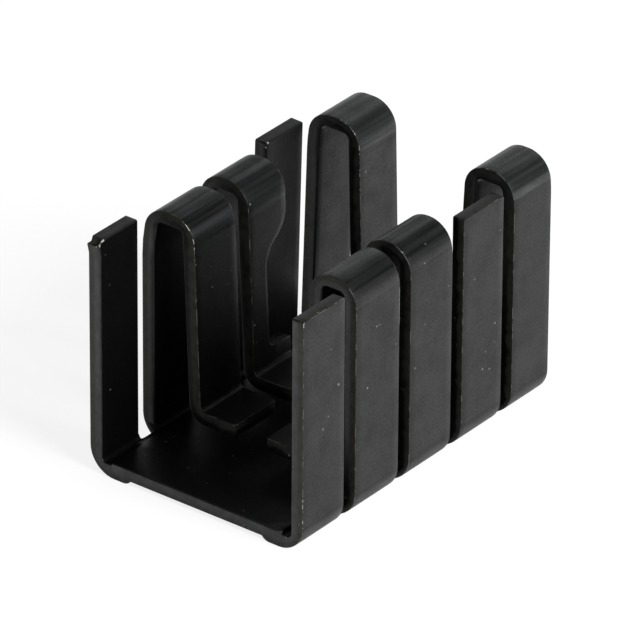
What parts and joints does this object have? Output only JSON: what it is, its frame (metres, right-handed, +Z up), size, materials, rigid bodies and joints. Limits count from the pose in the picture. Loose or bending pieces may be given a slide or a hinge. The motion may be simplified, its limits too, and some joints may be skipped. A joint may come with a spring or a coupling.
{
  "type": "transistor heat sink",
  "caption": "Black folded-sheet channel heat sink with slotted upright fins and inward spring feet that clamp a transistor tab.",
  "frame": {"origin": "middle of the underside, on the plane that the part rests on", "axes": "+X across the channel from wall to wall, +Y along the channel from the transistor's end to the rear, +Z up out of the open side"},
  "size_m": [0.0126, 0.019, 0.0131],
  "materials": {
    "heat_sink": "satin black anodised, with bare metal on a few worn corners"
  },
  "bodies": {
    "root": {"heat_sink": "heat_sink"}
  },
  "joints": []
}
